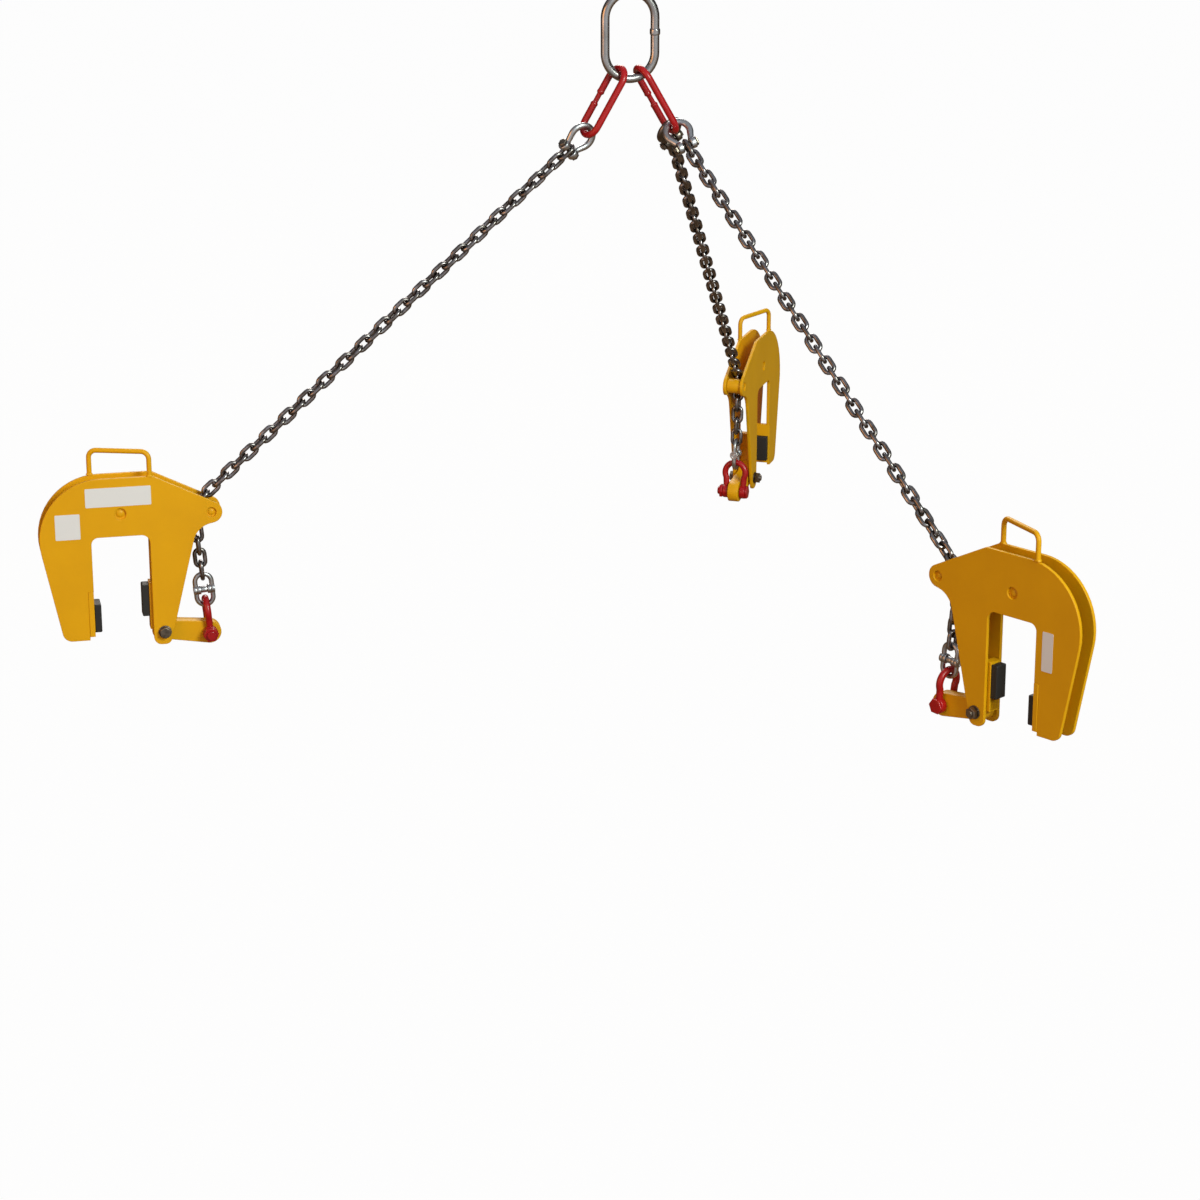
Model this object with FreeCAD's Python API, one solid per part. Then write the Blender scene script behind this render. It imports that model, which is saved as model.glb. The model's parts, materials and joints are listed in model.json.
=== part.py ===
import FreeCAD, Part
import math
import os

os.makedirs("parts", exist_ok=True)

# A three-leg lifter for open manhole rings. A master link carries two sub-links,
# these carry three chain legs, and each leg ends in a clamp that hooks over the
# ring's wall and grips it when the chain pulls its lever up.
# Frame: millimetres, +Z up, origin where the crane hook seats in the master link.
# A clamp is drawn in its own frame: X outwards from the wall's inner face, Y to
# the left when looking outwards, Z up from the rim that the clamp stands on.

Vec = FreeCAD.Vector

# The ring that the clamps stand on
rim_drop = 935.0
wall_radius = 915.0
wall_thickness = 75.0
leg_azimuths = {"a": 210.0, "b": -30.0, "c": 90.0}
left_azimuth = 210.0
right_azimuth = 30.0
hang_angle = 29.8

# Fits
seat_gap = 0.3
bow_gap = 0.8
top_gap = 0.95
pin_gap = 0.3
weld_gap = 0.1

# Master link and sub-links
master_bar = 16.0
master_width = 76.0
master_length = 139.0
collar_length = 12.0
collar_bar = 19.0
collar_rise = 5.5
sub_bar = 12.5
sub_width = 31.5
sub_length = 121.0
neck_length = 32.0
neck_bar = 8.6
left_turn = -20.0
right_turn = -13.0

# Chain
link_bar = 8.0
link_pitch = 24.0
link_width = 10.0
link_chamfer = 6.5
corner_bar = 7.6
corner_chamfer = 3.4
drop_links = 5

# Top shackle, red grip shackle and coupling link
top_bar = 10.6
top_inside = 48.0
top_bow = 31.5
top_mouth = 15.0
top_bolt = 9.5
top_lug = 11.0
top_head = 4.0
top_nut = 5.0
top_spare = 2.0
grip_bar = 12.5
grip_inside = 55.8
grip_bow = 31.0
grip_mouth = 23.5
grip_bolt = 16.0
grip_lug = 14.0
grip_head = 4.0
grip_nut = 7.0
grip_spare = 4.5
coupling_bar = 9.0
coupling_length = 50.0
coupling_width = 21.0
coupling_pin = 8.0
coupling_lug = 8.5
coupling_step = 2.0

# Clamp side plates
plate_thick = 6.4
plate_gap = 29.5
top_height = 107.0
nose_x = -131.5
nose_z = 33.0
nose_radius = 20.0
nose_slope = 26.6
nose_under = 11.8
under_bend = 40.0
throat_in = -19.0
throat_out = 86.4
throat_top = -2.0
back_radius = 112.0
back_x = 182.0
back_lean = 11.4
leg_bottom = -195.0
tip_bottom = -212.0
inner_lean = 14.1
inner_x = -87.4
inner_z = -60.0
spacer_x = 32.4
spacer_z = 40.0
spacer_bar = 21.0
weld_recess = 2.5

# Nose pin and roller, and the chain's path over them
nose_pin_bar = 18.0
roller_bar = 30.0
roller_gap = 0.5
corner_angle = 10.0
drop_lean = 5.0

# Backing bar, pads, handle
backing_x = 86.8
backing_thick = 9.6
backing_top = -103.4
backing_bottom = -188.4
backing_proud = 1.0
pad_bottom = -181.4
pad_height = 53.0
pad_thick = 12.8
pad_half = 19.0
handle_bar = 9.2
handle_in = -23.0
handle_out = 81.5
handle_top = 152.5
handle_bend = 14.0

# Lever, its jaw pad and its pivot bolt
pivot_x = -39.0
pivot_z = -188.0
pivot_bolt = 12.0
pivot_boss = 17.0
lever_thick = 22.4
eye_radius = 21.0
upright_x = -29.0
upright_thick = 15.0
upright_half = 13.0
upright_top = -95.0
jaw_thick = 13.2
jaw_height = 60.0
jaw_half = 12.0
jaw_drop = 4.0
pivot_head = 7.5
pivot_nut = 10.0
pivot_spare = 3.0
washer_thick = 2.5
washer_radius = 12.0

# How finely curves are cut into flats
round_sides = 12
bar_sides = 8


def polar(angle, length=1.0):
    a = math.radians(angle)
    return math.cos(a) * length, math.sin(a) * length


def unit(v):
    return v * (1.0 / v.Length)


def place(shape, origin, x_dir, z_dir):
    """The shape moved so that its own X and Z lie along x_dir and z_dir."""
    x = unit(x_dir)
    z = unit(z_dir - x * z_dir.dot(x))
    y = z.cross(x)
    matrix = FreeCAD.Matrix(
        x.x, y.x, z.x, origin.x,
        x.y, y.y, z.y, origin.y,
        x.z, y.z, z.z, origin.z,
        0, 0, 0, 1)
    moved = shape.copy()
    moved.Placement = FreeCAD.Placement(matrix).multiply(moved.Placement)
    return moved


def joined(shapes):
    """One solid from shapes that overlap."""
    body = shapes[0].multiFuse(shapes[1:])
    body = body.removeSplitter()
    return body.Solids[0]


def face_of(points):
    return Part.Face(Part.makePolygon(points + [points[0]]))


def prism_y(points, low, high):
    """A solid from (x, z) points, drawn between two values of y."""
    face = face_of([Vec(x, low, z) for x, z in points])
    return face.extrude(Vec(0, high - low, 0))


def polygon_points(cx, cz, across, sides):
    """A regular polygon whose flats are `across` apart."""
    radius = across / 2 / math.cos(math.pi / sides)
    turn = math.pi / sides
    steps = [turn + 2 * math.pi * i / sides for i in range(sides)]
    return [(cx + radius * math.cos(a), cz + radius * math.sin(a)) for a in steps]


def rod_y(cx, cz, across, low, high, sides=round_sides):
    """A round bar along Y, cut into flats."""
    return prism_y(polygon_points(cx, cz, across, sides), low, high)


def hex_y(cx, cz, across, low, high):
    return rod_y(cx, cz, across, low, high, 6)


def box(x0, x1, y0, y1, z0, z1):
    return Part.makeBox(x1 - x0, y1 - y0, z1 - z0, Vec(x0, y0, z0))


def arc_points(cx, cz, radius, start, end, steps):
    points = []
    for i in range(steps + 1):
        dx, dz = polar(start + (end - start) * i / steps, radius)
        points.append((cx + dx, cz + dz))
    return points


def rounded(corners):
    """Points of an outline whose corners (x, z, radius, steps) are rounded."""
    points = []
    count = len(corners)
    for i, (x, z, radius, steps) in enumerate(corners):
        if radius == 0:
            points.append((x, z))
            continue
        here = Vec(x, 0, z)
        before = Vec(corners[i - 1][0], 0, corners[i - 1][1])
        after = Vec(corners[(i + 1) % count][0], 0, corners[(i + 1) % count][1])
        back = unit(before - here)
        on = unit(after - here)
        half = back.getAngle(on) / 2
        centre = here + unit(back + on) * (radius / math.sin(half))
        first = here + back * (radius / math.tan(half)) - centre
        last = here + on * (radius / math.tan(half)) - centre
        start = math.degrees(math.atan2(first.z, first.x))
        end = math.degrees(math.atan2(last.z, last.x))
        sweep = (end - start + 180) % 360 - 180
        points += arc_points(centre.x, centre.z, radius, start, start + sweep, steps)
    return points


def bar_along(path, across, sides, closed, flat):
    """A flat-sided bar swept along straight runs, mitred where they meet.
    `flat` is a direction square to the first run that one flat side faces."""
    runs = len(path) if closed else len(path) - 1
    ahead = [unit(path[(i + 1) % len(path)] - path[i]) for i in range(runs)]
    radius = across / 2 / math.cos(math.pi / sides)
    side = unit(flat - ahead[0] * flat.dot(ahead[0]))
    other = ahead[0].cross(side)
    section = []
    for i in range(sides):
        a = math.pi / sides + 2 * math.pi * i / sides
        section.append(side * (radius * math.cos(a)) + other * (radius * math.sin(a)))
    rings = []
    for i in range(len(path)):
        along = ahead[i] if i < runs else ahead[-1]
        if i == 0:
            cut = unit(ahead[0] + ahead[-1]) if closed else ahead[0]
        elif i < runs:
            cut = unit(ahead[i - 1] + ahead[i])
        else:
            cut = ahead[-1]
        slide = ahead[i - 1] if i > 0 else along
        section = [p - slide * (p.dot(cut) / slide.dot(cut)) for p in section]
        rings.append([path[i] + p for p in section])
    faces = []
    for i in range(runs):
        near = rings[i]
        far = rings[(i + 1) % len(path)]
        for k in range(sides):
            n = (k + 1) % sides
            faces.append(face_of([near[k], near[n], far[n], far[k]]))
    if not closed:
        faces.append(face_of(rings[0]))
        faces.append(face_of(rings[-1]))
    solid = Part.Solid(Part.makeShell(faces))
    if solid.Volume < 0:
        solid.reverse()
    return solid


def bend_points(cx, cy, radius, start, end, count):
    """Corners of flats that touch a circle, so that they never cut inside it."""
    step = (end - start) / count
    reach = radius / math.cos(math.radians(step / 2))
    points = []
    for i in range(count):
        dx, dy = polar(start + step * (i + 0.5), reach)
        points.append(Vec(cx + dx, cy + dy, 0))
    return points


def oval_path(half_length, half_width, count):
    """Corner points of a link with round ends, its length along X."""
    reach = half_length - half_width
    right = bend_points(reach, 0, half_width, -90, 90, count)
    left = bend_points(-reach, 0, half_width, 90, 270, count)
    return right + left


# Where things stand in the clamp's frame
nose = Vec(nose_x, 0, nose_z)
corner_normal = Vec(polar(corner_angle)[0], 0, polar(corner_angle)[1])
corner_down = Vec(corner_normal.z, 0, -corner_normal.x)
half_link = link_width / 2 + link_bar
corner_centre = nose + corner_normal * (roller_bar / 2 + half_link + roller_gap)
between_bars = link_pitch / 2 - link_bar / 2
run_end = corner_centre - corner_down * between_bars
drop_start = corner_centre + corner_down * between_bars
drop_down = Vec(-math.sin(math.radians(drop_lean)), 0, -math.cos(math.radians(drop_lean)))
drop_seat = drop_start + drop_down * (link_bar / 2 + link_pitch * drop_links)
coupling_centre = drop_seat + drop_down * (coupling_length / 2)
eye = drop_seat + drop_down * (coupling_length - bow_gap + grip_inside)
half_gap = plate_gap / 2
outer_face = half_gap + plate_thick


def clamp_frame(azimuth):
    """Origin and X direction of the clamp that stands at this azimuth."""
    ex, ey = polar(azimuth)
    return Vec(ex * wall_radius, ey * wall_radius, -rim_drop), Vec(ex, ey, 0)


def at_clamp(shape, azimuth):
    origin, out = clamp_frame(azimuth)
    return place(shape, origin, out, Vec(0, 0, 1))


def clamp_point(point, azimuth):
    origin, out = clamp_frame(azimuth)
    left = Vec(0, 0, 1).cross(out)
    return origin + out * point.x + left * point.y + Vec(0, 0, 1) * point.z


# The hanging geometry
bend_radius = (master_width + master_bar) / 2
lower_bend = Vec(0, 0, -(master_length - master_width / 2))
sub_half = (sub_width + sub_bar) / 2
sub_hang = master_width / 2 - seat_gap
arch_reach = sub_hang + sub_length + sub_bar / 2 - sub_half
bow_reach = top_inside - top_gap - sub_bar / 2


def sub_frame(arch, turn):
    """A sub-link's directions: along its length, across its width, and square to its plane."""
    down = unit(arch - lower_bend)
    level = unit(Vec(0, 0, 1).cross(down))
    a = math.radians(turn)
    across = level * math.cos(a) + down.cross(level) * math.sin(a)
    return down, across, across.cross(down)


def seat_on(arch, turn, corner):
    """Where the bow of a leg that pulls towards `corner` rests on the lower bend."""
    normal = sub_frame(arch, turn)[2]
    pull = corner - arch
    return arch + unit(pull - normal * pull.dot(normal)) * sub_half


def arch_at(azimuth):
    """The centre of a sub-link's lower bend when it hangs at the usual angle."""
    ex, ey = polar(azimuth)
    lean = math.radians(hang_angle)
    out = Vec(ex * math.sin(lean), ey * math.sin(lean), -math.cos(lean))
    return lower_bend + out * arch_reach


leg_arches = {
    "a": (arch_at(left_azimuth), left_turn),
    "b": (arch_at(right_azimuth), right_turn),
    "c": (arch_at(right_azimuth), right_turn)}


def leg_layout(leg):
    """Seat, bolt, corner and directions of one chain leg. Whole links fill its run:
    their spacing is the run's length shared out, within half a percent of the pitch."""
    corner = clamp_point(run_end, leg_azimuths[leg])
    arch, turn = leg_arches[leg]
    seat = seat_on(arch, turn, corner)
    down = unit(corner - seat)
    bolt = seat + down * bow_reach
    normal = sub_frame(arch, turn)[2]
    length = (corner - bolt).Length + top_bolt / 2 - link_bar / 2
    links = round(length / link_pitch)
    return {
        "arch": arch,
        "seat": seat,
        "bolt": bolt,
        "corner": corner,
        "down": down,
        "swing": unit(Vec(0, 0, 1).cross(down)),
        "bolt_dir": unit(normal - down * normal.dot(down)),
        "links": links,
        "spacing": length / links,
    }


def master_link():
    half_length = (master_length + master_bar) / 2
    ring = bar_along(oval_path(half_length, bend_radius, 8), master_bar, round_sides, True, Vec(0, 0, 1))
    low = collar_length / 2 - collar_rise
    collar_path = [Vec(low - collar_length, bend_radius, 0), Vec(low, bend_radius, 0)]
    collar = bar_along(collar_path, collar_bar, round_sides, False, Vec(0, 0, 1))
    ex, ey = polar(right_azimuth)
    centre = Vec(0, 0, -master_length / 2)
    return place(joined([ring, collar]), centre, Vec(0, 0, -1), Vec(ey, -ex, 0))


def sub_link(arch, turn, hand):
    """A sub-link from the master link's lower bend, with a flattened neck in one leg."""
    half_length = (sub_length + sub_bar) / 2
    path = oval_path(half_length, sub_half, 6)
    ring = bar_along(path, sub_bar, round_sides, True, Vec(0, 0, 1))
    for side in (-1, 1):
        edges = sorted((hand * sub_half + side * neck_bar / 2, hand * sub_half + side * sub_bar))
        ring = ring.cut(box(-neck_length / 2, neck_length / 2, edges[0], edges[1], -sub_bar, sub_bar))
    down, across, normal = sub_frame(arch, turn)
    centre = lower_bend + down * (sub_hang + sub_length / 2)
    return place(ring.Solids[0], centre, down, normal)


def flat_link(spacing):
    """A chain link with flat sides, its length along X and its plane square to Z."""
    inner_x = (spacing + seat_gap) / 2
    inner_y = link_width / 2
    outer_x = inner_x + link_bar
    c = link_chamfer
    corners = [
        (outer_x, half_link - c), (outer_x - c, half_link),
        (-outer_x + c, half_link), (-outer_x, half_link - c),
        (-outer_x, -half_link + c), (-outer_x + c, -half_link),
        (outer_x - c, -half_link), (outer_x, -half_link + c)]
    outline = Part.makePolygon([Vec(x, y, -link_bar / 2) for x, y in corners + corners[:1]])
    inside = [(inner_x, inner_y), (-inner_x, inner_y), (-inner_x, -inner_y), (inner_x, -inner_y)]
    hole = Part.makePolygon([Vec(x, y, -link_bar / 2) for x, y in inside + inside[:1]])
    face = Part.Face([outline, hole])
    return face.extrude(Vec(0, 0, link_bar))


def bent_link(spacing):
    """A link for the corner at the nose, where its neighbours turn in it: its bar has eight sides."""
    half_length = (spacing + link_bar) / 2
    half_width = (link_width + link_bar) / 2
    c = corner_chamfer
    corners = [
        (half_length, half_width - c), (half_length - c, half_width),
        (-half_length + c, half_width), (-half_length, half_width - c),
        (-half_length, -half_width + c), (-half_length + c, -half_width),
        (half_length - c, -half_width), (half_length, -half_width + c)]
    return bar_along([Vec(x, y, 0) for x, y in corners], corner_bar, 8, True, Vec(0, 0, 1))


def chain_run(layout):
    """The straight run of chain from the shackle's bolt to the clamp's nose."""
    down = layout["down"]
    links = layout["links"]
    spacing = layout["spacing"]
    last_normal = layout["swing"].cross(down)
    first_normal = layout["bolt_dir"]
    if links % 2 == 0:
        plane_normal = layout["swing"]
        side_normal = last_normal
    else:
        plane_normal = last_normal
        side_normal = layout["swing"]
    twist = math.atan2(first_normal.dot(side_normal), first_normal.dot(plane_normal))
    if abs(twist) > math.pi / 2:
        twist -= math.copysign(math.pi, twist)
    solids = []
    for i in range(links):
        left = twist * (1 - i / (links - 1))
        quarter = math.pi / 2 * (i % 2)
        a = left + quarter
        normal = plane_normal * math.cos(a) + side_normal * math.sin(a)
        centre = layout["bolt"] + down * (spacing * (i + 0.5) - top_bolt / 2)
        shape = bent_link(spacing) if i == links - 1 else flat_link(spacing)
        solids.append(place(shape, centre, down, normal))
    return Part.makeCompound(solids)


def chain_drop():
    """The corner link on the nose roller and the links that hang below it."""
    across = Vec(0, 1, 0)
    solids = [place(bent_link(link_pitch), corner_centre, corner_down, across)]
    for i in range(drop_links):
        centre = drop_start + drop_down * (link_bar / 2 + link_pitch * (i - 0.5) + link_pitch)
        normal = across.cross(drop_down) if i % 2 == 0 else across
        shape = bent_link(link_pitch) if i in (0, drop_links - 1) else flat_link(link_pitch)
        solids.append(place(shape, centre, drop_down, normal))
    return Part.makeCompound(solids)


def shackle_bow(bar, inside, bow, mouth, lug, bolt):
    """A bow shackle: its bolt on the Y axis through the origin, its crown towards +X."""
    centre_x = inside - bow / 2
    radius = (bow + bar) / 2
    lug_y = (mouth + bar) / 2
    points = [Vec(bolt / 4, lug_y, 0), Vec(bolt * 0.95, lug_y, 0)]
    points += bend_points(centre_x, 0, radius, 118, -118, 6)
    points += [Vec(bolt * 0.95, -lug_y, 0), Vec(bolt / 4, -lug_y, 0)]
    shapes = [bar_along(points, bar, bar_sides, False, Vec(0, 0, 1))]
    for side in (-1, 1):
        low = side * lug_y - bar / 2
        shapes.append(rod_y(0, 0, 2 * lug, low, low + bar, 12))
    hole = rod_y(0, 0, bolt + 2 * pin_gap, -lug_y - bar, lug_y + bar)
    return joined(shapes).cut(hole).Solids[0]


def shackle_bolt(bar, mouth, bolt, head, nut_length, spare):
    """A bolt on the Y axis with its head at -Y and its nut at +Y."""
    end = mouth / 2 + bar + pin_gap
    across = bolt * 1.55
    return joined([
        rod_y(0, 0, bolt, -end - head / 2, end + nut_length + spare),
        hex_y(0, 0, across, -end - head, -end),
        hex_y(0, 0, across, end, end + nut_length)])


def coupling_half(side):
    """One forged half of the coupling link. Side +1 carries the outer lugs, -1 the inner ones."""
    half_width = (coupling_width + coupling_bar) / 2
    crown_x = (coupling_length + coupling_bar) / 2
    start = coupling_lug + 1
    turn = crown_x - half_width
    points = [Vec(start - 1, half_width, 0)]
    points += bend_points(turn, 0, half_width, 90, -90, 4)
    points += [Vec(start - 1, -half_width, 0)]
    arch = bar_along(points, coupling_bar, bar_sides, False, Vec(0, 0, 1))
    shapes = [arch]
    middle = half_width - coupling_step
    edge = half_width + coupling_bar / 2
    for hand in (-1, 1):
        if side > 0:
            low, high = middle + seat_gap / 2, edge
        else:
            low, high = middle - coupling_bar + coupling_step, middle - seat_gap / 2
        if hand < 0:
            low, high = -high, -low
        shapes.append(rod_y(0, 0, 2 * coupling_lug, low, high, 8))
        shapes.append(box(0, start + 3, low, high, -coupling_bar / 2, coupling_bar / 2))
    hole = rod_y(0, 0, coupling_pin + 2 * pin_gap, -edge - 1, edge + 1, 8)
    solid = joined(shapes).cut(hole).Solids[0]
    if side < 0:
        solid = place(solid, Vec(0, 0, 0), Vec(-1, 0, 0), Vec(0, 0, 1))
    return solid


def coupling_pin_set():
    """The coupling link's load pin with the bush in its middle."""
    edge = (coupling_width + coupling_bar) / 2 + coupling_bar / 2
    inner = (coupling_width + coupling_bar) / 2 - coupling_bar - seat_gap
    return joined([
        rod_y(0, 0, coupling_pin, -edge, edge, 8),
        rod_y(0, 0, coupling_pin * 1.5, -inner, inner, 8)])


def plate_outline():
    """The C shape of a side plate, clockwise from the top's inner end."""
    slope = math.radians(nose_slope)
    lean = math.radians(back_lean)
    inner = math.radians(inner_lean)
    nose_top = (nose_x - nose_radius * math.sin(slope), nose_z + nose_radius * math.cos(slope))
    top_x = nose_top[0] + (top_height - nose_top[1]) / math.tan(slope)
    outer_top = back_x + top_height * math.tan(lean)
    outer_bottom = back_x + leg_bottom * math.tan(lean)
    tip_in = inner_x - (tip_bottom - inner_z) * math.tan(inner)
    below = math.radians(-90 - nose_under)
    nose_low = (nose_x + nose_radius * math.cos(below), nose_z + nose_radius * math.sin(below))
    fall = math.tan(math.radians(nose_under))
    edge_x = inner_x + (inner_z - nose_low[1]) * math.tan(inner)
    run = (edge_x - nose_low[0]) / (1 - fall * math.tan(inner))
    under = (nose_low[0] + run, nose_low[1] - fall * run)
    notch_x = backing_x + backing_thick
    corners = [
        (top_x, top_height, 10, 2),
        (outer_top, top_height, back_radius, 8),
        (outer_bottom, leg_bottom, 18, 3),
        (notch_x, leg_bottom, 0, 0),
        (notch_x, backing_top, 0, 0),
        (throat_out, backing_top, 0, 0),
        (throat_out, throat_top, 13, 2),
        (throat_in, throat_top, 16, 2),
        (throat_in, tip_bottom, 14, 3),
        (tip_in, tip_bottom, 12, 3),
        (under[0], under[1], under_bend, 5),
        (nose_low[0], nose_low[1], 0, 0),
        (nose_top[0], nose_top[1], 0, 0)]
    nose_arc = arc_points(nose_x, nose_z, nose_radius, -90 - nose_under, nose_slope - 270, 6)
    return rounded(corners)[:-2] + nose_arc


def side_plates():
    outline = plate_outline()
    plates = []
    for side in (-1, 1):
        low = half_gap if side > 0 else -outer_face
        plate = prism_y(outline, low, low + plate_thick)
        for x, z, across in ((nose_x, nose_z, nose_pin_bar), (spacer_x, spacer_z, spacer_bar)):
            plate = plate.cut(rod_y(x, z, across + 2 * weld_gap, low - 1, low + plate_thick + 1))
        plates.append(plate.Solids[0])
    return Part.makeCompound(plates)


def carry_handle():
    """A bent rod that crosses from the top of one plate to the top of the other."""
    plate_middle = half_gap + plate_thick / 2
    first = Vec(handle_in, plate_middle, 0)
    last = Vec(handle_out, -plate_middle, 0)
    span = (last - first).Length
    b = handle_bend
    left = arc_points(b, handle_top - b, b, 180, 90, 3)
    right = arc_points(span - b, handle_top - b, b, 90, 0, 3)
    foot = top_height + weld_gap / 2
    points = [(0, foot)] + left + right + [(span, foot)]
    path = [Vec(x, 0, z) for x, z in points]
    rod = bar_along(path, handle_bar, bar_sides, False, Vec(0, 1, 0))
    return place(rod, first, last - first, Vec(0, 0, 1))


def nose_roller():
    half = half_gap - pin_gap
    tube = rod_y(nose_x, nose_z, roller_bar, -half, half)
    return tube.cut(rod_y(nose_x, nose_z, nose_pin_bar + 2 * pin_gap, -half - 1, half + 1))


def cross_pin(x, z, across):
    end = outer_face - weld_recess
    return rod_y(x, z, across, -end, end)


def backing_bar():
    end = outer_face + backing_proud
    gap = weld_gap
    return box(
        backing_x, backing_x + backing_thick - gap, -end, end,
        backing_bottom, backing_top - gap)


def outer_pad():
    return box(
        backing_x - pad_thick, backing_x - weld_gap, -pad_half, pad_half,
        pad_bottom, pad_bottom + pad_height)


def grip_lever():
    """A bell crank: the eye takes the red shackle's bolt, the upright carries the jaw pad."""
    half = lever_thick / 2
    pivot = Vec(pivot_x, 0, pivot_z)
    side = unit(pivot - eye).cross(Vec(0, 1, 0))
    near = side * (eye_radius - 1)
    far = side * (pivot_boss - 1)
    arm = [eye + near, pivot + far, pivot - far, eye - near]
    web = [
        (pivot_x - pivot_boss * 0.9, pivot_z), (upright_x, pivot_z + 2.5 * pivot_boss),
        (upright_x + upright_thick, pivot_z + 2.5 * pivot_boss), (upright_x + upright_thick, pivot_z)]
    lever = joined([
        rod_y(eye.x, eye.z, 2 * eye_radius, -half, half, 16),
        rod_y(pivot_x, pivot_z, 2 * pivot_boss, -half, half),
        prism_y([(p.x, p.z) for p in arm], -half, half),
        prism_y(web, -half, half),
        box(upright_x, upright_x + upright_thick, -upright_half, upright_half, pivot_z + jaw_drop, upright_top)])
    lever = lever.cut(rod_y(eye.x, eye.z, grip_bolt + 2 * pin_gap, -half - 1, half + 1))
    lever = lever.cut(rod_y(pivot_x, pivot_z, pivot_bolt + 2 * pin_gap, -half - 1, half + 1))
    return lever.Solids[0]


def jaw_pad():
    face = upright_x + upright_thick + weld_gap
    top = upright_top - jaw_drop
    return box(face, face + jaw_thick - weld_gap, -jaw_half, jaw_half, top - jaw_height, top)


def pivot_bolt_set():
    """The lever's bolt with its washers, head and nut."""
    near = outer_face + weld_gap
    seat = near + washer_thick
    across = pivot_bolt * 1.55
    return joined([
        rod_y(pivot_x, pivot_z, pivot_bolt, -seat - pivot_nut - pivot_spare, seat + pivot_head / 2),
        rod_y(pivot_x, pivot_z, 2 * washer_radius, near, seat),
        rod_y(pivot_x, pivot_z, 2 * washer_radius, -seat, -near),
        hex_y(pivot_x, pivot_z, across, seat, seat + pivot_head),
        hex_y(pivot_x, pivot_z, across, -seat - pivot_nut, -seat)])


def drill_plates(plates):
    """The side plates with the holes for the lever's bolt."""
    hole = rod_y(pivot_x, pivot_z, pivot_bolt + 2 * pin_gap, -outer_face - 1, outer_face + 1)
    return Part.makeCompound([solid.cut(hole).Solids[0] for solid in plates.Solids])


def save(shape, node):
    shape.exportStep("parts/" + node + ".step")


def build_leg(leg):
    azimuth = leg_azimuths[leg]
    layout = leg_layout(leg)
    up = layout["down"] * -1
    normal = up.cross(layout["bolt_dir"])
    bow = shackle_bow(top_bar, top_inside, top_bow, top_mouth, top_lug, top_bolt)
    bolt = shackle_bolt(top_bar, top_mouth, top_bolt, top_head, top_nut, top_spare)
    save(place(bow, layout["bolt"], up, normal), "top_shackle_bow_" + leg)
    save(place(bolt, layout["bolt"], up, normal), "top_shackle_bolt_" + leg)
    save(chain_run(layout), "chain_run_" + leg)

    rise = drop_down * -1
    across = Vec(0, 1, 0)
    grip_bow_solid = shackle_bow(grip_bar, grip_inside, grip_bow, grip_mouth, grip_lug, grip_bolt)
    grip_bolt_solid = shackle_bolt(grip_bar, grip_mouth, grip_bolt, grip_head, grip_nut, grip_spare)
    halves = Part.makeCompound([
        place(coupling_half(1), coupling_centre, rise, across),
        place(coupling_half(-1), coupling_centre, rise, across)])
    local = {
        "chain_drop": chain_drop(),
        "coupling_link": halves,
        "coupling_pin": place(coupling_pin_set(), coupling_centre, rise, across),
        "grip_shackle_bow": place(grip_bow_solid, eye, rise, rise.cross(across)),
        "grip_shackle_bolt": place(grip_bolt_solid, eye, rise, rise.cross(across)),
        "side_plates": drill_plates(side_plates()),
        "carry_handle": carry_handle(),
        "nose_pin": cross_pin(nose_x, nose_z, nose_pin_bar),
        "nose_roller": nose_roller(),
        "mid_spacer": cross_pin(spacer_x, spacer_z, spacer_bar),
        "backing_bar": backing_bar(),
        "outer_pad": outer_pad(),
        "grip_lever": grip_lever(),
        "jaw_pad": jaw_pad(),
        "pivot_bolt": pivot_bolt_set()}
    for name, shape in local.items():
        save(at_clamp(shape, azimuth), name + "_" + leg)
    return layout


save(master_link(), "master_link")
save(sub_link(arch_at(left_azimuth), left_turn, 1), "sublink_left")
save(sub_link(arch_at(right_azimuth), right_turn, -1), "sublink_right")
for leg in leg_azimuths:
    layout = build_leg(leg)
    print(leg, layout["links"], "links", round(layout["spacing"], 3), "mm apart")
    for key in ("arch", "seat", "bolt", "corner", "down", "swing", "bolt_dir"):
        v = layout[key]
        print(leg, key, round(v.x, 3), round(v.y, 3), round(v.z, 3))
    for name, point in (("nose", nose), ("pivot", Vec(pivot_x, 0, pivot_z)), ("eye", eye)):
        v = clamp_point(point, leg_azimuths[leg])
        print(leg, name, round(v.x, 3), round(v.y, 3), round(v.z, 3))
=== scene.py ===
import json
import math
import bpy
import numpy as np
from mathutils import Matrix, Vector
from mathutils.geometry import tessellate_polygon


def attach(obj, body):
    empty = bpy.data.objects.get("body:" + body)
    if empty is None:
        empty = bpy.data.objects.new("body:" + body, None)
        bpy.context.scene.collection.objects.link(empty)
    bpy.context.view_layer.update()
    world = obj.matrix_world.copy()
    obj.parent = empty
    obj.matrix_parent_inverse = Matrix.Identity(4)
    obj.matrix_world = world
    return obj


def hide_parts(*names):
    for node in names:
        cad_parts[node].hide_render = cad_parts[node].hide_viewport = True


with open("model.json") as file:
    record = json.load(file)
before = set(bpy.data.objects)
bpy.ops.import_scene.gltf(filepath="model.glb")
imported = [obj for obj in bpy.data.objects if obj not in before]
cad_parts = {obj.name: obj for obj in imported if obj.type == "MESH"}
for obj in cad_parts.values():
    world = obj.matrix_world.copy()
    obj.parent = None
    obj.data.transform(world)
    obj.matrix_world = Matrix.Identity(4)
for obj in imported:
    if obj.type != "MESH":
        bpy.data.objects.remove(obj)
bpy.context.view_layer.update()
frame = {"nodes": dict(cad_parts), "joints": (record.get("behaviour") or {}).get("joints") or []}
mm = 0.001
xAxis, yAxis, zAxis = np.eye(3)
print("frame loaded:", len(frame["nodes"]), "nodes")

joints = {j["name"]: j for j in frame["joints"]}


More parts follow.
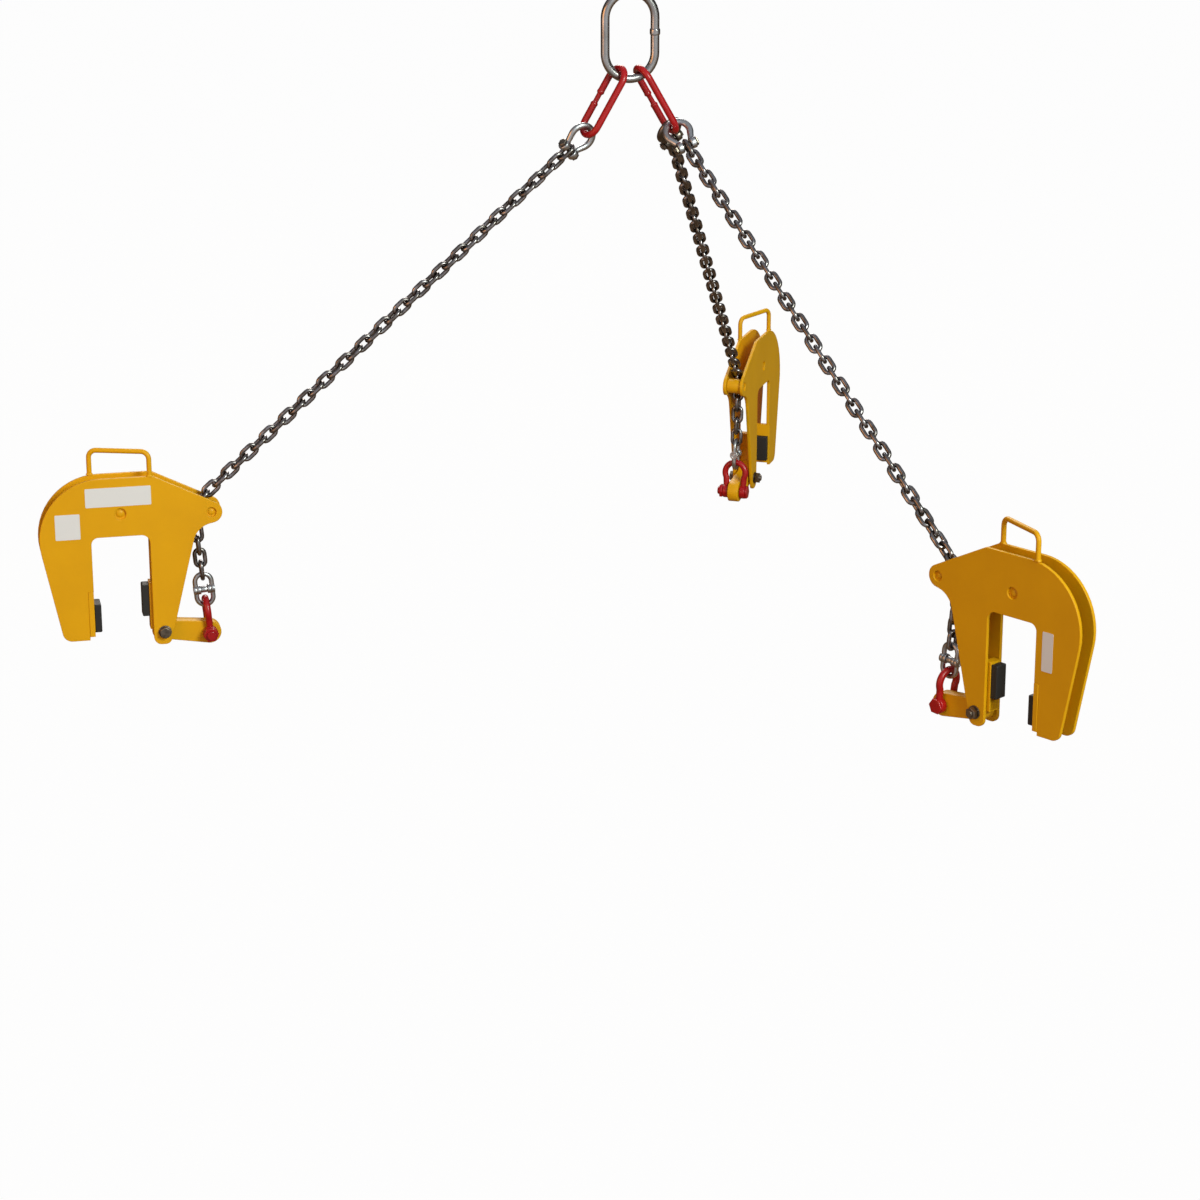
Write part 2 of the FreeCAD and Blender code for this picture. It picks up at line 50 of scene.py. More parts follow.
def unit(v):
    # the vector's direction, one long
    v = np.asarray(v, float)
    return v / np.linalg.norm(v)


def jointPlace(name):
    return np.array(joints[name]["pos_m"]) / mm  # millimetres


def jointAxis(name):
    return unit(joints[name]["axis"])


# Shapes. Each one is (vertices, faces): an array of points in millimetres and a list of
# faces that index it. A piece is a list of such shapes.

def outward(verts, faces):
    # a closed shell's signed volume, the sum of a . (b x c) over its triangles, is negative
    # when its faces point inwards
    fans = np.array([(f[0], f[i], f[i + 1]) for f in faces for i in range(1, len(f) - 1)])
    a, b, c = verts[fans[:, 0]], verts[fans[:, 1]], verts[fans[:, 2]]
    if np.sum(a * np.cross(b, c)) < 0:
        return [tuple(reversed(f)) for f in faces]
    return faces


def gridFaces(rows, columns, closedRows):
    # quads of a grid that is closed across its columns, and along its rows if asked
    i, k = np.meshgrid(np.arange(rows if closedRows else rows - 1), np.arange(columns), indexing="ij")
    nextRow = (i + 1) % rows
    nextColumn = (k + 1) % columns
    here, there = i * columns, nextRow * columns
    corners = np.stack([here + k, here + nextColumn, there + nextColumn, there + k], -1)
    return [tuple(f) for f in corners.reshape(-1, 4).tolist()]


def planarBar(path, closed, wide, thick, sides=12, power=1.0):
    # an oval section carried along a path in the XY plane, squarer as power falls below 1:
    # point(s, a) = path(s) + side(s) * wide/2 * cos(a)^power + Z * thick/2 * sin(a)^power
    path = np.asarray(path, float)
    count = len(path)
    if closed:
        ahead = np.roll(path, -1, 0) - np.roll(path, 1, 0)
    else:
        ahead = np.gradient(path, axis=0)
    ahead /= np.linalg.norm(ahead, axis=1, keepdims=True)
    side = np.stack([ahead[:, 1], -ahead[:, 0]], 1)
    angle = np.linspace(0, 2 * math.pi, sides, endpoint=False)
    wide = np.broadcast_to(np.asarray(wide, float), count)
    thick = np.broadcast_to(np.asarray(thick, float), count)
    across = np.sign(np.cos(angle)) * np.abs(np.cos(angle)) ** power
    rise = np.sign(np.sin(angle)) * np.abs(np.sin(angle)) ** power
    flat = path[:, None, :] + side[:, None, :] * (wide[:, None, None] / 2) * across[None, :, None]
    rise = rise[None, :] * thick[:, None] / 2
    verts = np.concatenate([flat, rise[..., None]], 2).reshape(-1, 3)
    faces = gridFaces(count, sides, closed)
    if not closed:
        faces.append(tuple(range(sides - 1, -1, -1)))
        faces.append(tuple(range((count - 1) * sides, count * sides)))
    return verts, outward(verts, faces)


def turned(profile, sides=24, centre=(0, 0)):
    # a profile of (y, radius) turned about the Y axis through centre = (x, z):
    # point(s, a) = (x + r(s) * cos(a), y(s), z + r(s) * sin(a))
    profile = np.asarray(profile, float)
    angle = np.linspace(0, 2 * math.pi, sides, endpoint=False)
    x = centre[0] + profile[:, 1][:, None] * np.cos(angle)[None, :]
    z = centre[1] + profile[:, 1][:, None] * np.sin(angle)[None, :]
    y = np.broadcast_to(profile[:, 0][:, None], x.shape)
    verts = np.stack([x, y, z], 2).reshape(-1, 3)
    faces = gridFaces(len(profile), sides, False)
    faces.append(tuple(range(sides - 1, -1, -1)))
    faces.append(tuple(range((len(profile) - 1) * sides, len(profile) * sides)))
    return verts, outward(verts, faces)


def rounding(edge, steps=3):
    # (inset, depth) pairs of a quarter round, from the flat face out to the side:
    # inset = edge * (1 - sin a), depth = edge * (1 - cos a)
    angle = np.linspace(0, math.pi / 2, steps + 1)
    return np.stack([edge * (1 - np.sin(angle)), edge * (1 - np.cos(angle))], 1)


def shaft(radius, low, high, edge, sides=24, centre=(0, 0)):
    # a round bar from y = low to y = high, with both its rims rounded
    ends = rounding(edge)
    first = [(low + depth, radius - inset) for inset, depth in ends]
    last = [(high - depth, radius - inset) for inset, depth in ends[::-1]]
    return turned(first + last, sides, centre)


def insetLoop(loop, distance):
    # each corner moves along its mitre, into the material on the loop's left
    before = loop - np.roll(loop, 1, 0)
    after = np.roll(loop, -1, 0) - loop
    before /= np.linalg.norm(before, axis=1, keepdims=True)
    after /= np.linalg.norm(after, axis=1, keepdims=True)
    first = np.stack([-before[:, 1], before[:, 0]], 1)
    second = np.stack([-after[:, 1], after[:, 0]], 1)
    mitre = first + second
    scale = np.sum(mitre * first, 1, keepdims=True)
    return loop + mitre / np.maximum(scale, 0.4) * distance  # a sharp corner's mitre stays short


def turnSign(loop):
    # twice the area inside the loop, below 0 when the loop runs clockwise
    x, z = loop[:, 0], loop[:, 1]
    return np.sum(x * np.roll(z, -1) - np.roll(x, -1) * z)


def slab(loops, low, high, edge):
    # loops of (x, z) points drawn out from y = low to y = high, with rounded edges: the
    # outline runs anticlockwise, the holes clockwise, and both shrink into the material
    rings = rounding(edge)
    verts = []
    faces = []
    firstRings = []
    lastRings = []
    start = 0
    for number, loop in enumerate(loops):
        loop = np.asarray(loop, float)
        if (turnSign(loop) > 0) != (number == 0):
            loop = loop[::-1]
        layers = [(inset, low + depth) for inset, depth in rings]
        layers += [(inset, high - depth) for inset, depth in rings[::-1]]
        count = len(loop)
        for inset, y in layers:
            moved = insetLoop(loop, inset)
            verts.append(np.stack([moved[:, 0], np.full(count, y), moved[:, 1]], 1))
        faces += [tuple(start + i for i in f) for f in gridFaces(len(layers), count, False)]
        firstRings.append((start, insetLoop(loop, edge)))
        lastRings.append(start + (len(layers) - 1) * count)
        start += len(layers) * count
    verts = np.concatenate(verts)
    # both caps share one set of triangles, and each cap numbers its own corners
    nearCap = [start + i for start, ring in firstRings for i in range(len(ring))]
    farCap = [start + i for start, (_, ring) in zip(lastRings, firstRings) for i in range(len(ring))]
    flat = [[Vector((x, z, 0)) for x, z in ring] for _, ring in firstRings]
    for i, j, k in tessellate_polygon(flat):
        p, q, r = verts[nearCap[i]], verts[nearCap[j]], verts[nearCap[k]]
        up = (q[0] - p[0]) * (r[2] - p[2]) - (r[0] - p[0]) * (q[2] - p[2])
        if abs(up) < 1e-9:
            continue
        if up < 0:
            j, k = k, j
        faces.append((nearCap[i], nearCap[j], nearCap[k]))
        faces.append((farCap[i], farCap[k], farCap[j]))
    return verts, matchTurn(verts, faces)


def matchTurn(verts, faces):
    # the side's quads, all turned one way, have to run against the caps along shared edges
    caps = {(f[i], f[(i + 1) % 3]) for f in faces if len(f) == 3 for i in range(3)}
    quad = next(f for f in faces if len(f) == 4)
    if caps & {(quad[i], quad[(i + 1) % 4]) for i in range(4)}:
        faces = [tuple(reversed(f)) if len(f) == 4 else f for f in faces]
    return outward(verts, faces)


def disc(cx, cz, radius, count=32):
    # a circle's points: centre + radius * (cos a, sin a)
    angle = np.linspace(0, 2 * math.pi, count, endpoint=False)
    return np.stack([cx + radius * np.cos(angle), cz + radius * np.sin(angle)], 1)


def hexagon(cx, cz, across):
    # six corners on the circle round a hexagon that is across wide over its flats
    angle = np.radians(np.arange(6) * 60 + 30)
    reach = across / 2 / math.cos(math.radians(30))
    return np.stack([cx + reach * np.cos(angle), cz + reach * np.sin(angle)], 1)


def rectangle(x0, x1, z0, z1):
    # its four corners, anticlockwise
    return np.array([(x0, z0), (x1, z0), (x1, z1), (x0, z1)], float)


def arc(cx, cz, radius, start, end, count):
    # centre + radius * (cos a, sin a), with a from start to end in degrees
    angle = np.radians(np.linspace(start, end, count))
    return np.stack([cx + radius * np.cos(angle), cz + radius * np.sin(angle)], 1)


def roundedLoop(corners, step=7):
    # each (x, z, radius) corner becomes an arc that touches both of its sides
    points = []
    for i, (x, z, radius) in enumerate(corners):
        here = np.array([x, z])
        if radius == 0:
            points.append([here])
            continue
        back = unit(np.array(corners[i - 1][:2]) - here)
        on = unit(np.array(corners[(i + 1) % len(corners)][:2]) - here)
        half = math.acos(np.clip(back @ on, -1, 1)) / 2
        centre = here + unit(back + on) * radius / math.sin(half)
        first = here + back * radius / math.tan(half) - centre
        last = here + on * radius / math.tan(half) - centre
        start = math.degrees(math.atan2(first[1], first[0]))
        end = math.degrees(math.atan2(last[1], last[0]))
        sweep = (end - start + 180) % 360 - 180
        count = max(3, int(abs(sweep) / step) + 2)
        points.append(arc(centre[0], centre[1], radius, start, start + sweep, count))
    return np.concatenate(points)


def stadium(halfLength, halfWidth, count=10):
    # a link's centre line: two half circles joined by straights, its length along X
    reach = halfLength - halfWidth
    right = arc(reach, 0, halfWidth, -90, 90, count)
    left = arc(-reach, 0, halfWidth, 90, 270, count)
    return np.concatenate([right, left])


def placed(shape, origin, xDir, zDir):
    # the shape's own X and Z turned to lie along xDir and zDir, and its origin moved
    x = unit(xDir)
    z = unit(zDir - x * np.dot(zDir, x))
    y = np.cross(z, x)
    verts, faces = shape
    return verts @ np.stack([x, y, z]) + origin, faces


sharpAngle = 38  # degrees between two faces, above which their edge looks sharp


def makePiece(name, shapes, material, body, nodes):
    # one object out of a list of shapes, at the origin, with its place in its mesh
    offset = 0
    verts = []
    faces = []
    for v, f in shapes:
        verts.append(v)
        faces += [tuple(offset + i for i in face) for face in f]
        offset += len(v)
    mesh = bpy.data.meshes.new(name)
    mesh.from_pydata((np.concatenate(verts) * mm).tolist(), [], faces)
    mesh.set_sharp_from_angle(angle=math.radians(sharpAngle))
    # quads are smooth; the flat ends and faces, all of other counts, stay flat
    mesh.polygons.foreach_set("use_smooth", [len(face) == 4 for face in faces])
    mesh.materials.append(material)
    mesh.update()
    piece = bpy.data.objects.new(name, mesh)
    bpy.context.scene.collection.objects.link(piece)
    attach(piece, body)
    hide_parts(*nodes)


# Materials

class Link:
    # one socket of a shader tree; sums and products of links add their Math nodes
    def __init__(self, tree, socket):
        self.tree = tree
        self.socket = socket

    def math(self, operation, first, second):
        node = self.tree.nodes.new("ShaderNodeMath")
        node.operation = operation
        for place, value in enumerate((first, second)):
            if isinstance(value, Link):
                self.tree.links.new(value.socket, node.inputs[place])
            else:
                node.inputs[place].default_value = value
        return Link(self.tree, node.outputs[0])

    def __add__(self, other):
        return self.math("ADD", self, other)

    def __radd__(self, other):
        return self.math("ADD", other, self)

    def __sub__(self, other):
        return self.math("SUBTRACT", self, other)

    def __rsub__(self, other):
        return self.math("SUBTRACT", other, self)

    def __mul__(self, other):
        return self.math("MULTIPLY", self, other)

    def __rmul__(self, other):
        return self.math("MULTIPLY", other, self)


def colour(red, green, blue):
    return (red, green, blue, 1.0)


class Shading:
    # a node tree whose nodes are added by type, settings and socket values
    def __init__(self, tree):
        self.tree = tree

    def node(self, kind, settings=None, inputs=None, output=0):
        node = self.tree.nodes.new(kind)
        for key, value in (settings or {}).items():
            if key == "stops":
                for i, (place, tone) in enumerate(value):
                    stop = node.color_ramp.elements[i] if i < 2 else node.color_ramp.elements.new(place)
                    stop.position = place
                    stop.color = colour(*tone)
            else:
                setattr(node, key, value)
        for key, value in (inputs or {}).items():
            self.feed(node, key, value)
        return Link(self.tree, node.outputs[output])

    def feed(self, node, key, value):
        # a link or a plain value into one of the node's sockets
        if isinstance(value, Link):
            self.tree.links.new(value.socket, node.inputs[key])
        else:
            node.inputs[key].default_value = value

    def mix(self, mask, first, second):
        # the first where the mask is 0, the second where it is 1
        return self.node("ShaderNodeMix", {"data_type": "RGBA"}, {0: mask, 6: first, 7: second}, output=2)

    def along(self, vector, towards, start, end):
        # 0 where the vector reaches start along a direction, 1 where it reaches end
        reach = self.node(
            "ShaderNodeVectorMath", {"operation": "DOT_PRODUCT"}, {0: vector, 1: towards}, output="Value")
        return self.node("ShaderNodeMapRange", inputs={"Value": reach, "From Min": start, "From Max": end})

    def rays(self, kind):
        return self.node("ShaderNodeLightPath", output=kind)


class Finish(Shading):
    # a material made round its Principled shader
    def __init__(self, name):
        self.material = bpy.data.materials.new(name)
        self.material.use_nodes = True
        super().__init__(self.material.node_tree)
        self.shader = self.tree.nodes["Principled BSDF"]

    def coordinates(self):
        return self.node("ShaderNodeTexCoord", output="Object")

    def noise(self, scale, detail=3.0, roughness=0.5):
        grain = {"Vector": self.coordinates(), "Scale": scale, "Detail": detail, "Roughness": roughness}
        return self.node("ShaderNodeTexNoise", inputs=grain)

    def ramp(self, value, low, high):
        # black up to low, white from high on
        stops = [(low, (0, 0, 0)), (high, (1, 1, 1))]
        return self.node("ShaderNodeValToRGB", {"stops": stops}, {"Fac": value})

    def bump(self, height, strength, distance):
        relief = {"Height": height, "Strength": strength, "Distance": distance}
        return self.node("ShaderNodeBump", inputs=relief)

    def set(self, **values):
        # sockets of the shader by name, with _ for each space
        for key, value in values.items():
            self.feed(self.shader, key.replace("_", " "), value)
        return self.material


# cloud, smear and peel are noise scales, from the broad tone to the fine orange peel
paintGrain = {
    "cloud": 9.0, "cloudDetail": 4.0, "cloudRough": 0.6, "cloudFrom": 0.35, "cloudTo": 0.70, "smear": 60.0,
    "peel": 420.0, "peelDetail": 2.0, "peelStrength": 0.06, "peelDepth": 0.0006, "coatRough": 0.12,
}
enamelLook = {
    "face": (0.74, 0.376, 0.001), "shade": (0.69, 0.342, 0.001),
    "rough": 0.42, "roughSpread": 0.08, "coat": 0.0, "specular": 0.3,
}
redLook = {
    "face": (0.42, 0.003, 0.006), "shade": (0.30, 0.002, 0.005),
    "rough": 0.30, "roughSpread": 0.10, "coat": 0.20, "specular": 0.4,
}


def paint(name, look):
    # enamel: broad cloudy tone and fine orange peel, with a thin clear coat on the red
    f = Finish(name)
    g = paintGrain
    cloud = f.ramp(f.noise(g["cloud"], g["cloudDetail"], g["cloudRough"]), g["cloudFrom"], g["cloudTo"])
    peel = f.noise(g["peel"], g["peelDetail"])
    return f.set(
        Base_Color=f.mix(cloud, colour(*look["face"]), colour(*look["shade"])),
        Roughness=look["rough"] + f.noise(g["smear"]) * look["roughSpread"],
        Coat_Weight=look["coat"], Coat_Roughness=g["coatRough"], Specular_IOR_Level=look["specular"],
        Normal=f.bump(peel, g["peelStrength"], g["peelDepth"]))


metalGrain = {
    "detail": 5.0, "roughness": 0.65, "wearFrom": 0.36, "wearTo": 0.66, "finer": 9.0, "strength": 0.10,
    "depth": 0.0004,
}
forgedLook = {
    "bright": (0.46, 0.455, 0.47), "dark": (0.28, 0.27, 0.27), "rough": 0.22, "roughSpread": 0.10,
    "scale": 14.0,
}
zincLook = {
    "bright": (0.54, 0.55, 0.58), "dark": (0.36, 0.365, 0.39), "rough": 0.30, "roughSpread": 0.12,
    "scale": 45.0,
}
# a darker, browner copy of the zinc look: painted shade for the rear bow, which hangs in shade
paintedShadeZincLook = {
    "bright": (0.26, 0.225, 0.20), "dark": (0.10, 0.082, 0.07), "rough": 0.30, "roughSpread": 0.14,
    "scale": 45.0,
}
chainLook = {
    "bright": (0.34, 0.325, 0.345), "dark": (0.11, 0.094, 0.082), "rough": 0.22, "roughSpread": 0.12,
    "scale": 60.0,
}
boltLook = {
    "bright": (0.30, 0.26, 0.22), "dark": (0.10, 0.08, 0.065), "rough": 0.30, "roughSpread": 0.16,
    "scale": 50.0,
}


def metal(name, look):
    # worn metal: two tones broken up by noise, with the darker places rougher
    f = Finish(name)
    g = metalGrain
    wear = f.ramp(f.noise(look["scale"], g["detail"], g["roughness"]), g["wearFrom"], g["wearTo"])
    fine = f.noise(look["scale"] * g["finer"])
    return f.set(
        Base_Color=f.mix(wear, colour(*look["dark"]), colour(*look["bright"])),
        Metallic=1.0,
        Roughness=(look["rough"] + look["roughSpread"]) - wear * look["roughSpread"],
        Normal=f.bump(fine, g["strength"], g["depth"]))


plainGrain = {"scale": 300.0, "strength": 0.08, "depth": 0.0005}
rubberLook = {"face": (0.012, 0.012, 0.013), "rough": 0.55}
filmLook = {"face": (0.73, 0.75, 0.80), "rough": 0.35}


def plain(name, look):
    # one tone, with a fine grain
    f = Finish(name)
    relief = f.bump(f.noise(plainGrain["scale"]), plainGrain["strength"], plainGrain["depth"])
    return f.set(Base_Color=colour(*look["face"]), Roughness=look["rough"], Normal=relief)


yellowEnamel = paint("yellow_enamel", enamelLook)
redEnamel = paint("red_enamel", redLook)
forgedSteel = metal("forged_steel", forgedLook)
brightZinc = metal("bright_zinc", zincLook)
paintedShadeZinc = metal("zinc_painted_shade", paintedShadeZincLook)
chainSteel = metal("chain_steel", chainLook)
darkBolt = metal("dark_bolt", boltLook)
padRubber = plain("pad_rubber", rubberLook)
labelFilm = plain("label_film", filmLook)
print("materials made")

# Master link and sub-links

masterLink = {
    "bar": 16.0, "width": 76.0, "length": 139.0, "collar": 19.0, "collarLength": 12.0, "collarAt": -5.5,
}
subLink = {
    "bar": 12.5, "width": 31.5, "length": 121.0, "neck": 21.0, "neckWide": 9.2, "neckThick": 9.2, "gap": 0.3,
    "hang": 29.8, "azimuth": {"left": 210.0, "right": 30.0}, "turn": {"left": -20.0, "right": -13.0},
    "neckSide": {"left": 1.0, "right": -1.0}, "neckEase": 3.0,
    "flare": 1.3, "flareAt": 1.5, "flareLength": 2.2,
}

masterNormal = jointAxis("sub_swing_left")  # square to the master link's plane
lowerBend = -zAxis * (masterLink["length"] - masterLink["width"] / 2)


def makeMasterLink():
    # a round bar carried round a stadium, and a short wider bar round its weld
    s = masterLink
    half = (s["length"] + s["bar"]) / 2
    bend = (s["width"] + s["bar"]) / 2
    ring = planarBar(stadium(half, bend, count=24), True, s["bar"], s["bar"], sides=24)
    # along the weld's collar the bar grows by (collar - bar) * (1 - t^4)^(1/2), t from -1 to 1
    along = np.linspace(-1, 1, 13)
    swell = s["bar"] + (s["collar"] - s["bar"]) * np.sqrt(np.clip(1 - along ** 4, 0, 1))
    path = np.stack([s["collarAt"] + along * s["collarLength"] / 2, np.full_like(along, bend)], 1)
    collar = planarBar(path, False, swell, swell, sides=24)
    shapes = [placed(part, -zAxis * s["length"] / 2, -zAxis, masterNormal) for part in (ring, collar)]
    makePiece("master_ring", shapes, forgedSteel, "head", ["master_link"])


def subFrame(side):
    # its length leans out at the hanging angle, and its plane is turned about that length
    lean = math.radians(subLink["hang"])
    azimuth = math.radians(subLink["azimuth"][side])
    out = math.sin(lean)
    down = np.array([out * math.cos(azimuth), out * math.sin(azimuth), -math.cos(lean)])
    level = unit(np.cross(zAxis, down))
    turn = math.radians(subLink["turn"][side])
    across = level * math.cos(turn) + np.cross(down, level) * math.sin(turn)
    return down, np.cross(across, down)


def makeSubLink(side):
    # a bar carried round a stadium, d being the distance beyond the neck's nearer end:
    # width = bar + (neck - bar) * ease + flare * exp(-((d - flareAt) / flareLength)^2),
    # ease = t^2 * (3 - 2 * t), t = -d / neckEase kept between 0 and 1
    s = subLink
    down, normal = subFrame(side)
    half = (s["length"] + s["bar"]) / 2
    bend = (s["width"] + s["bar"]) / 2
    # both straights get extra points, so that the neck can narrow on one of them
    reach = half - bend
    straight = np.linspace(-reach, reach, 61)[1:-1]
    near = np.stack([straight, np.full_like(straight, -bend)], 1)
    far = np.stack([straight[::-1], np.full_like(straight, bend)], 1)
    upper = arc(-reach, 0, bend, 90, 270, count=22)
    lower = arc(reach, 0, bend, -90, 90, count=22)
    path = np.concatenate([near, lower, far, upper])
    onSide = np.abs(path[:, 1] - bend * s["neckSide"][side]) < 0.01
    # the neck is squeezed thinner, and its two ends flare a little before the full bar goes on
    fromEnd = np.abs(path[:, 0]) - s["neck"] / 2
    ease = np.clip(-fromEnd / s["neckEase"], 0, 1) * onSide
    ease = ease * ease * (3 - 2 * ease)
    flare = np.exp(-((fromEnd - s["flareAt"]) / s["flareLength"]) ** 2) * onSide
    wide = s["bar"] + (s["neckWide"] - s["bar"]) * ease + flare * s["flare"]
    thick = s["bar"] + (s["neckThick"] - s["bar"]) * ease + flare * s["flare"]
    ring = planarBar(path, True, wide, thick, sides=20)
    centre = lowerBend + down * (masterLink["width"] / 2 - s["gap"] + s["length"] / 2)
    shape = placed(ring, centre, down, normal)
    makePiece("sublink_ring_" + side, [shape], redEnamel, "sub_" + side, ["sublink_" + side])


makeMasterLink()
makeSubLink("left")
makeSubLink("right")
print("master link and sub-links made")

# Shackles and the coupling link

topShackle = {
    "bar": 10.6, "wide": 12.4, "inside": 48.0, "bow": 31.5, "mouth": 15.0, "bolt": 9.5, "lug": 11.0,
    "head": 4.0, "nut": 5.0, "spare": 2.0, "power": 0.97,
}
gripShackle = {
    "bar": 12.5, "wide": 12.5, "inside": 55.8, "bow": 31.0, "mouth": 23.5, "bolt": 16.0, "lug": 14.0,
    "head": 4.0, "nut": 7.0, "spare": 4.5, "power": 1.0,
}
# what both sizes share; straight and across are shares of the bolt, domeWide and domeRise of
# its head, and blend says where the leg's two points lie between the lug and the crown
forging = {
    "crownAngle": 118.0, "straight": 0.7, "blend": (0.35, 0.7), "swell": 14.0, "play": 0.3, "lugEdge": 2.0,
    "across": 1.55, "boltEdge": 0.8, "headEdge": 1.2, "domeWide": 0.47, "domeRise": 1.06, "domeEdge": 1.0,
}
coupling = {
    "bar": 9.0, "length": 50.0, "width": 21.0, "pin": 8.0, "lug": 8.5, "gap": 0.3, "hangGap": 0.8,
    "jointIn": 2.0, "legFrom": 0.4, "legTo": 1.3, "play": 0.2, "eyeEdge": 0.9, "pinEdge": 0.6,
    "bushWide": 0.75, "bushEdge": 0.8,
}


def shackleBow(s):
    # legs that leave the lugs straight and swell into a round crown, its bolt on the Y axis
    f = forging
    centre = s["inside"] - s["bow"] / 2
    radius = (s["bow"] + s["wide"]) / 2
    lugY = (s["mouth"] + s["bar"]) / 2
    crown = arc(centre, 0, radius, f["crownAngle"], -f["crownAngle"], count=40)
    start = np.array([[0.0, lugY], [s["bolt"] * f["straight"], lugY]])
    blend = start[1] + (crown[0] - start[1]) * np.array(f["blend"])[:, None]
    half = np.concatenate([start, blend])
    path = np.concatenate([half, crown, half[::-1] * [1, -1]])
    # the crown is forged wider than the legs: bar + (wide - bar) * t, t = (x - bolt) / swell
    # kept between 0 and 1
    swell = np.clip((path[:, 0] - s["bolt"]) / f["swell"], 0, 1)
    wide = s["bar"] + (s["wide"] - s["bar"]) * swell
    shapes = [planarBar(path, False, wide, s["bar"], sides=20, power=s["power"])]
    for sign in (-1, 1):
        y = sign * lugY
        loops = [disc(0, 0, s["lug"]), disc(0, 0, s["bolt"] / 2 + f["play"])]
        shapes.append(slab(loops, y - s["bar"] / 2, y + s["bar"] / 2, f["lugEdge"]))
    return shapes


def shackleBolt(s):
    # shank, head, nut and the low dome on the head, in line along Y
    f = forging
    end = s["mouth"] / 2 + s["bar"] + f["play"]
    across = s["bolt"] * f["across"]
    tip = end + s["nut"] + s["spare"]
    body = shaft(s["bolt"] / 2, -end - s["head"] / 2, tip, f["boltEdge"])
    head = slab([hexagon(0, 0, across)], -end - s["head"], -end, f["headEdge"])
    nut = slab([hexagon(0, 0, across)], end, end + s["nut"], f["headEdge"])
    domeTop = -end - s["head"] * f["domeRise"]
    dome = shaft(across * f["domeWide"], domeTop, -end - s["head"] / 2, f["domeEdge"])
    return [body, head, nut, dome]


def couplingHalves(s):
    # two forged bows back to back, the eyes of one outside the eyes of the other
    halfWidth = (s["width"] + s["bar"]) / 2
    crownX = (s["length"] + s["bar"]) / 2
    turn = crownX - halfWidth
    crown = arc(turn, 0, halfWidth, 90, -90, count=22)
    legs = np.array([[s["lug"] * s["legFrom"], halfWidth], [s["lug"] * s["legTo"], halfWidth]])
    path = np.concatenate([legs, crown, legs[::-1] * [1, -1]])
    edge = halfWidth + s["bar"] / 2
    middle = halfWidth - s["jointIn"]
    outerEyes = (middle + s["gap"] / 2, edge)
    innerEyes = (middle - s["bar"] + s["jointIn"], middle - s["gap"] / 2)
    loops = [disc(0, 0, s["lug"], count=24), disc(0, 0, s["pin"] / 2 + s["play"], count=20)]
    halves = []
    for (low, high), away in ((outerEyes, xAxis), (innerEyes, -xAxis)):
        shapes = [planarBar(path, False, s["bar"], s["bar"], sides=14)]
        for sign in (-1, 1):
            y0, y1 = sorted((sign * low, sign * high))
            shapes.append(slab(loops, y0, y1, s["eyeEdge"]))
        halves += [placed(shape, np.zeros(3), away, zAxis) for shape in shapes]
    return halves


def couplingPin(s):
    # the load pin through all four eyes, and the bush round it between them
    edge = (s["width"] + s["bar"]) / 2 + s["bar"] / 2
    inner = (s["width"] + s["bar"]) / 2 - s["bar"] - s["gap"]
    bush = shaft(s["pin"] * s["bushWide"], -inner, inner, s["bushEdge"], sides=20)
    return [shaft(s["pin"] / 2, -edge, edge, s["pinEdge"], sides=20), bush]


# Chain

chain = {
    "bar": 8.0, "pitch": 24.0, "slack": 0.3, "width": 10.0, "dropLinks": 5, "cornerAngle": 10.0,
    "dropLean": 5.0, "heldRoll": {"b": -45.0}, "easeLinks": 9, "weldRise": 0.045, "weldLength": 2.2,
}


def oneLink(spacing):
    # a round bar carried round a stadium, long enough to leave the slack inside its neighbours
    half = (spacing + chain["slack"] + chain["bar"]) / 2
    bend = (chain["width"] + chain["bar"]) / 2
    path = stadium(half, bend, count=9)
    verts, faces = planarBar(path, True, chain["bar"], chain["bar"], sides=10)
    # the weld stands out on one straight: z * (1 + rise * exp(-(x / length)^2))
    bead = 1 + chain["weldRise"] * np.exp(-(verts[:, 0] / chain["weldLength"]) ** 2) * (verts[:, 1] > 0)
    verts[:, 2] *= bead
    return verts, faces


def runLinks(leg):
    # links a quarter turn apart on a line: centre(i) = bolt + down * (spacing * (i + 1/2) - radius)
    bolt = jointPlace("chain_sway_" + leg)
    corner = jointPlace("drop_swing_" + leg)
    down = unit(corner - bolt)
    swing = jointAxis("leg_swing_" + leg)
    length = np.linalg.norm(corner - bolt) + topShackle["bolt"] / 2 - chain["bar"] / 2
    count = int(round(length / chain["pitch"]))
    spacing = length / count
    sideways = np.cross(swing, down)
    # the last link of each run has to cross the corner link on the nose
    plane, side = (swing, sideways) if count % 2 == 0 else (sideways, swing)
    first = jointAxis("chain_sway_" + leg)
    twist = math.atan2(first @ side, first @ plane)
    if abs(twist) > math.pi / 2:
        twist -= math.copysign(math.pi, twist)
    # the roll eases from the bolt's to none at the nose, and is held in between on one leg
    stops = [(0, twist), (count - 1, 0.0)]
    if leg in chain["heldRoll"]:
        held = math.radians(chain["heldRoll"][leg])
        stops[1:1] = [(chain["easeLinks"], held), (count - 1 - chain["easeLinks"], held)]
    roll = np.interp(np.arange(count), *zip(*stops))
    shapes = []
    link = oneLink(spacing)
    for i in range(count):
        a = roll[i] + math.pi / 2 * (i % 2)
        normal = plane * math.cos(a) + side * math.sin(a)
        centre = bolt + down * (spacing * (i + 0.5) - topShackle["bolt"] / 2)
        shapes.append(placed(link, centre, down, normal))
    return shapes


# Clamp, drawn in its own frame: X outwards, Y to the left when looking outwards, Z up. Its
# origin lies in the throat, this far out from the hook's line and this high

